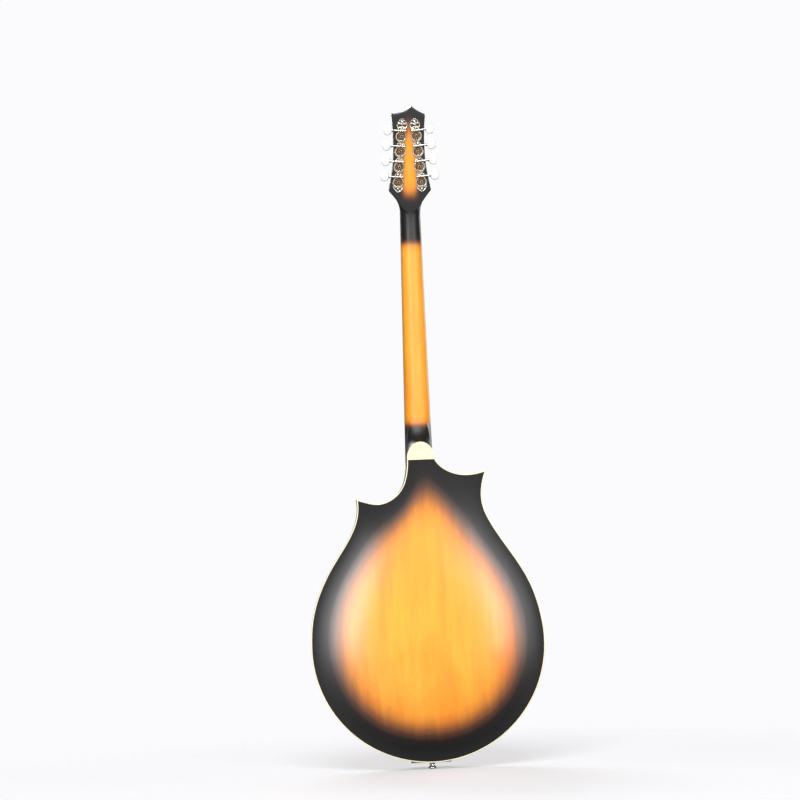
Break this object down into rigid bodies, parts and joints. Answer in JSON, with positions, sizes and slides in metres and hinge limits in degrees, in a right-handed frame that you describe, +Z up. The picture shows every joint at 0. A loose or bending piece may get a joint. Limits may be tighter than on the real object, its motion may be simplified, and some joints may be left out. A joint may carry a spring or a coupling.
{
  "type": "mandolin",
  "caption": "Long-necked mandolin-family instrument with a two-point arched body, sunburst finish, paired strings and plate tuners.",
  "frame": {"origin": "centre of the end pin's flat face, the lowest point of the instrument", "axes": "+Z up the neck towards the headstock, -Y towards the strings and top, +Y towards the arched back, +X to the treble side"},
  "size_m": [0.3444, 0.1342, 0.9785],
  "materials": {
    "back_maple": "satin amber to black sunburst over maple",
    "side_maple": "dark stained maple under satin lacquer",
    "neck_maple": "amber maple shaded to black at both ends, gloss",
    "top_spruce": "sunburst over spruce, satin",
    "inner_wood": "raw",
    "cream_binding": "cream, polished",
    "rosewood": "oiled rosewood",
    "black_veneer": "black, gloss lacquer",
    "black_plastic": "polished",
    "fret_wire": "polished nickel silver",
    "pearl": "pearloid",
    "pearl_button": "white pearloid, polished",
    "bone": "polished bone",
    "rod_steel": "plain steel",
    "nickel": "nickel plated",
    "plate_nickel": "nickel plated, engraved and slightly tarnished",
    "gear_metal": "brass gear on a nickel post",
    "string_steel": "plain steel wire",
    "string_bronze": "bronze wound wire"
  },
  "bodies": {
    "instrument": {"back_plate": "back_maple", "rib_bass": "side_maple", "rib_treble": "side_maple", "cutaway_ribs": "side_maple", "neck": "neck_maple", "top_plate": "top_spruce", "linings": "inner_wood", "neck_block": "inner_wood", "tail_block": "inner_wood", "point_blocks": "inner_wood", "tone_bars": "inner_wood", "back_binding": "cream_binding", "top_binding": "cream_binding", "heel_cap": "cream_binding", "fingerboard": "rosewood", "bridge_base": "rosewood", "headstock_veneer": "black_veneer", "truss_rod_cover": "black_plastic", "frets": "fret_wire", "position_dots": "pearl", "nut": "bone", "truss_rod": "rod_steel", "bridge_studs": "nickel", "tailpiece_base": "nickel", "tailpiece_screws": "nickel", "end_pin": "nickel", "tuner_plate_bass": "plate_nickel", "tuner_plate_treble": "plate_nickel", "headstock_screws": "nickel", "post_bushings": "nickel", "strings_plain": "string_steel", "strings_wound": "string_bronze"},
    "saddle": {"bridge_saddle": "rosewood"},
    "wheel_bass": {"thumbwheel_bass": "nickel"},
    "wheel_treble": {"thumbwheel_treble": "nickel"},
    "tail_cover": {"tailpiece_cover": "nickel"},
    "worm_1": {"tuner_worm_1": "nickel", "tuner_button_1": "pearl_button"},
    "post_1": {"string_post_1": "gear_metal"},
    "worm_2": {"tuner_worm_2": "nickel", "tuner_button_2": "pearl_button"},
    "post_2": {"string_post_2": "gear_metal"},
    "worm_3": {"tuner_worm_3": "nickel", "tuner_button_3": "pearl_button"},
    "post_3": {"string_post_3": "gear_metal"},
    "worm_4": {"tuner_worm_4": "nickel", "tuner_button_4": "pearl_button"},
    "post_4": {"string_post_4": "gear_metal"},
    "worm_5": {"tuner_worm_5": "nickel", "tuner_button_5": "pearl_button"},
    "post_5": {"string_post_5": "gear_metal"},
    "worm_6": {"tuner_worm_6": "nickel", "tuner_button_6": "pearl_button"},
    "post_6": {"string_post_6": "gear_metal"},
    "worm_7": {"tuner_worm_7": "nickel", "tuner_button_7": "pearl_button"},
    "post_7": {"string_post_7": "gear_metal"},
    "worm_8": {"tuner_worm_8": "nickel", "tuner_button_8": "pearl_button"},
    "post_8": {"string_post_8": "gear_metal"}
  },
  "joints": [
    {"name": "worm_turn_1", "type": "hinge", "parent": "instrument", "child": "worm_1", "pos_m": [-0.01616, 0.04077, 0.87484], "axis": [-0.996, 0.0289, 0.0841], "continuous": true},
    {"name": "post_turn_1", "type": "hinge", "parent": "instrument", "child": "post_1", "pos_m": [-0.01687, 0.01968, 0.87378], "axis": [0, 0.9455, -0.3256], "continuous": true},
    {"name": "worm_turn_2", "type": "hinge", "parent": "instrument", "child": "worm_2", "pos_m": [-0.01412, 0.04823, 0.8965], "axis": [-0.996, 0.0289, 0.0841], "continuous": true},
    {"name": "post_turn_2", "type": "hinge", "parent": "instrument", "child": "post_2", "pos_m": [-0.01482, 0.02713, 0.89544], "axis": [0, 0.9455, -0.3256], "continuous": true},
    {"name": "worm_turn_3", "type": "hinge", "parent": "instrument", "child": "worm_3", "pos_m": [-0.01208, 0.05569, 0.91816], "axis": [-0.996, 0.0289, 0.0841], "continuous": true},
    {"name": "post_turn_3", "type": "hinge", "parent": "instrument", "child": "post_3", "pos_m": [-0.01278, 0.03459, 0.9171], "axis": [0, 0.9455, -0.3256], "continuous": true},
    {"name": "worm_turn_4", "type": "hinge", "parent": "instrument", "child": "worm_4", "pos_m": [-0.01003, 0.06315, 0.93982], "axis": [-0.996, 0.0289, 0.0841], "continuous": true},
    {"name": "post_turn_4", "type": "hinge", "parent": "instrument", "child": "post_4", "pos_m": [-0.01073, 0.04205, 0.93876], "axis": [0, 0.9455, -0.3256], "continuous": true},
    {"name": "worm_turn_5", "type": "hinge", "parent": "instrument", "child": "worm_5", "pos_m": [0.01616, 0.04077, 0.87484], "axis": [0.996, 0.0289, 0.0841], "continuous": true},
    {"name": "post_turn_5", "type": "hinge", "parent": "instrument", "child": "post_5", "pos_m": [0.01687, 0.01968, 0.87378], "axis": [0, 0.9455, -0.3256], "continuous": true},
    {"name": "worm_turn_6", "type": "hinge", "parent": "instrument", "child": "worm_6", "pos_m": [0.01412, 0.04823, 0.8965], "axis": [0.996, 0.0289, 0.0841], "continuous": true},
    {"name": "post_turn_6", "type": "hinge", "parent": "instrument", "child": "post_6", "pos_m": [0.01482, 0.02713, 0.89544], "axis": [0, 0.9455, -0.3256], "continuous": true},
    {"name": "worm_turn_7", "type": "hinge", "parent": "instrument", "child": "worm_7", "pos_m": [0.01208, 0.05569, 0.91816], "axis": [0.996, 0.0289, 0.0841], "continuous": true},
    {"name": "post_turn_7", "type": "hinge", "parent": "instrument", "child": "post_7", "pos_m": [0.01278, 0.03459, 0.9171], "axis": [0, 0.9455, -0.3256], "continuous": true},
    {"name": "worm_turn_8", "type": "hinge", "parent": "instrument", "child": "worm_8", "pos_m": [0.01003, 0.06315, 0.93982], "axis": [0.996, 0.0289, 0.0841], "continuous": true},
    {"name": "post_turn_8", "type": "hinge", "parent": "instrument", "child": "post_8", "pos_m": [0.01073, 0.04205, 0.93876], "axis": [0, 0.9455, -0.3256], "continuous": true},
    {"name": "saddle_lift", "type": "slide", "parent": "instrument", "child": "saddle", "axis": [0, -1, 0], "range_m": [-0.001, 0.0016], "deforming": ["strings_wound", "strings_plain"]},
    {"name": "wheel_bass_turn", "type": "hinge", "parent": "saddle", "child": "wheel_bass", "pos_m": [-0.033, -0.05375, 0.19092], "axis": [0, -1, 0], "range_deg": [-450, 720]},
    {"name": "wheel_treble_turn", "type": "hinge", "parent": "saddle", "child": "wheel_treble", "pos_m": [0.033, -0.05375, 0.19092], "axis": [0, -1, 0], "range_deg": [-450, 720]},
    {"name": "tail_cover_slide", "type": "slide", "parent": "instrument", "child": "tail_cover", "axis": [0, 0.225, -0.9744], "range_m": [0, 0.07]}
  ],
  "couplings": [
    {"joint": "post_turn_1", "follows": "worm_turn_1", "ratio": 0.066667},
    {"joint": "post_turn_2", "follows": "worm_turn_2", "ratio": 0.066667},
    {"joint": "post_turn_3", "follows": "worm_turn_3", "ratio": 0.066667},
    {"joint": "post_turn_4", "follows": "worm_turn_4", "ratio": 0.066667},
    {"joint": "post_turn_5", "follows": "worm_turn_5", "ratio": -0.066667},
    {"joint": "post_turn_6", "follows": "worm_turn_6", "ratio": -0.066667},
    {"joint": "post_turn_7", "follows": "worm_turn_7", "ratio": -0.066667},
    {"joint": "post_turn_8", "follows": "worm_turn_8", "ratio": -0.066667},
    {"joint": "saddle_lift", "follows": "wheel_bass_turn", "m_per_rad": 0.00012732},
    {"joint": "wheel_treble_turn", "follows": "wheel_bass_turn", "ratio": 1}
  ]
}
